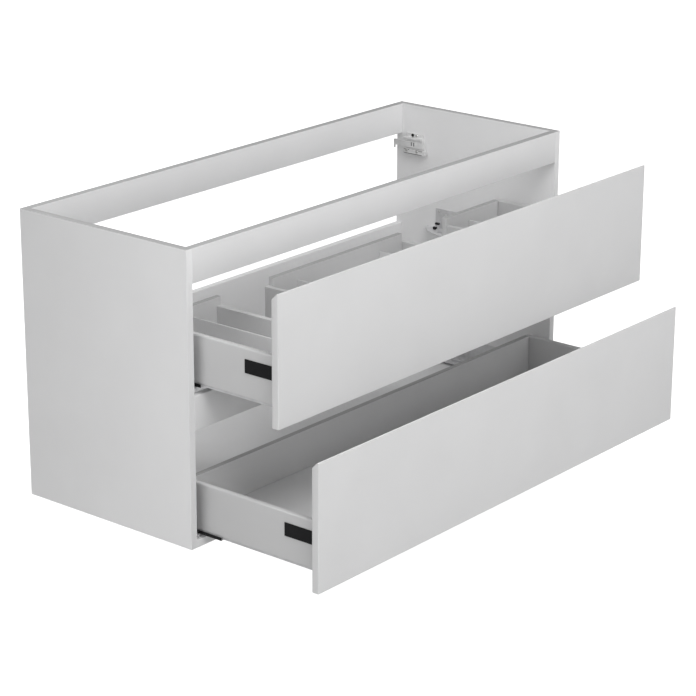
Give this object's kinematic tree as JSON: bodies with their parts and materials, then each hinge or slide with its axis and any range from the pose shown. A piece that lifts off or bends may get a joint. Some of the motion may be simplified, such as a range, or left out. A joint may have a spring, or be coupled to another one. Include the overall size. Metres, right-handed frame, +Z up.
{
  "type": "bathroom vanity cabinet",
  "caption": "Wide wall-hung bathroom vanity cabinet, open at the top for a basin, with part-open full-width drawers on metal sides and siphon cut-outs.",
  "frame": {"origin": "centre of the rear top rail's back face, in the wall plane", "axes": "+X along the width, to the right as seen from the front; +Y from the drawers into the wall; +Z up"},
  "size_m": [1.2, 0.761, 0.6],
  "materials": {
    "carcass_board": "white satin lacquer on board",
    "front_board": "white satin lacquer on board",
    "drawer_board": "light grey melamine on board",
    "side_metal": "satin light grey powder coat",
    "divider_metal": "satin light grey powder coat",
    "runner_steel": "zinc-plated, dull",
    "hanger_metal": "zinc-plated, dull",
    "screw_metal": "bright plated",
    "black_plastic": "fine-grained black moulding"
  },
  "bodies": {
    "cabinet": {"left_side_panel": "carcass_board", "right_side_panel": "carcass_board", "bottom_panel": "carcass_board", "lower_back_panel": "carcass_board", "rear_top_rail": "carcass_board", "front_top_rail": "carcass_board", "front_middle_rail": "carcass_board", "upper_cabinet_rail_left": "runner_steel", "lower_cabinet_rail_left": "runner_steel", "hanger_body_left": "hanger_metal", "hanger_screw_left": "screw_metal", "upper_cabinet_rail_right": "runner_steel", "lower_cabinet_rail_right": "runner_steel", "hanger_body_right": "hanger_metal", "hanger_screw_right": "screw_metal"},
    "upper_drawer": {"upper_front": "front_board", "upper_base": "drawer_board", "upper_back_left": "drawer_board", "upper_back_middle": "drawer_board", "upper_back_right": "drawer_board", "siphon_surround_left": "drawer_board", "siphon_surround_right": "drawer_board", "upper_divider_inner_left": "divider_metal", "upper_divider_inner_right": "divider_metal", "upper_divider_outer_left": "divider_metal", "upper_divider_outer_right": "divider_metal", "upper_side_left": "side_metal", "upper_cover_cap_left": "black_plastic", "upper_front_bracket_left": "runner_steel", "upper_rear_bracket_left": "runner_steel", "upper_drawer_rail_left": "runner_steel", "upper_side_right": "side_metal", "upper_cover_cap_right": "black_plastic", "upper_front_bracket_right": "runner_steel", "upper_rear_bracket_right": "runner_steel", "upper_drawer_rail_right": "runner_steel"},
    "lower_drawer": {"lower_front": "front_board", "lower_base": "drawer_board", "lower_back": "drawer_board", "lower_side_left": "side_metal", "lower_cover_cap_left": "black_plastic", "lower_front_bracket_left": "runner_steel", "lower_rear_bracket_left": "runner_steel", "lower_drawer_rail_left": "runner_steel", "lower_side_right": "side_metal", "lower_cover_cap_right": "black_plastic", "lower_front_bracket_right": "runner_steel", "lower_rear_bracket_right": "runner_steel", "lower_drawer_rail_right": "runner_steel"},
    "upper_left_middle_rail": {"upper_rail_stop_left": "black_plastic", "upper_middle_rail_left": "runner_steel"},
    "lower_left_middle_rail": {"lower_rail_stop_left": "black_plastic", "lower_middle_rail_left": "runner_steel"},
    "wall_hook_left": {"hanger_hook_left": "hanger_metal"},
    "upper_right_middle_rail": {"upper_rail_stop_right": "black_plastic", "upper_middle_rail_right": "runner_steel"},
    "lower_right_middle_rail": {"lower_rail_stop_right": "black_plastic", "lower_middle_rail_right": "runner_steel"},
    "wall_hook_right": {"hanger_hook_right": "hanger_metal"}
  },
  "joints": [
    {"name": "upper_drawer_slide", "type": "slide", "parent": "cabinet", "child": "upper_drawer", "axis": [0, -1, 0], "range_m": [-0.205, 0.145]},
    {"name": "lower_drawer_slide", "type": "slide", "parent": "cabinet", "child": "lower_drawer", "axis": [0, -1, 0], "range_m": [-0.3, 0.05]},
    {"name": "upper_left_middle_rail_slide", "type": "slide", "parent": "cabinet", "child": "upper_left_middle_rail", "axis": [0, -1, 0], "range_m": [-0.1025, 0.0725]},
    {"name": "upper_right_middle_rail_slide", "type": "slide", "parent": "cabinet", "child": "upper_right_middle_rail", "axis": [0, -1, 0], "range_m": [-0.1025, 0.0725]},
    {"name": "lower_left_middle_rail_slide", "type": "slide", "parent": "cabinet", "child": "lower_left_middle_rail", "axis": [0, -1, 0], "range_m": [-0.15, 0.025]},
    {"name": "lower_right_middle_rail_slide", "type": "slide", "parent": "cabinet", "child": "lower_right_middle_rail", "axis": [0, -1, 0], "range_m": [-0.15, 0.025]},
    {"name": "wall_hook_left_slide", "type": "slide", "parent": "cabinet", "child": "wall_hook_left", "axis": [0, 0, 1], "range_m": [-0.004, 0.004]},
    {"name": "wall_hook_right_slide", "type": "slide", "parent": "cabinet", "child": "wall_hook_right", "axis": [0, 0, 1], "range_m": [-0.004, 0.004]}
  ],
  "couplings": [
    {"joint": "upper_left_middle_rail_slide", "follows": "upper_drawer_slide", "ratio": 0.5},
    {"joint": "upper_right_middle_rail_slide", "follows": "upper_drawer_slide", "ratio": 0.5},
    {"joint": "lower_left_middle_rail_slide", "follows": "lower_drawer_slide", "ratio": 0.5},
    {"joint": "lower_right_middle_rail_slide", "follows": "lower_drawer_slide", "ratio": 0.5}
  ]
}
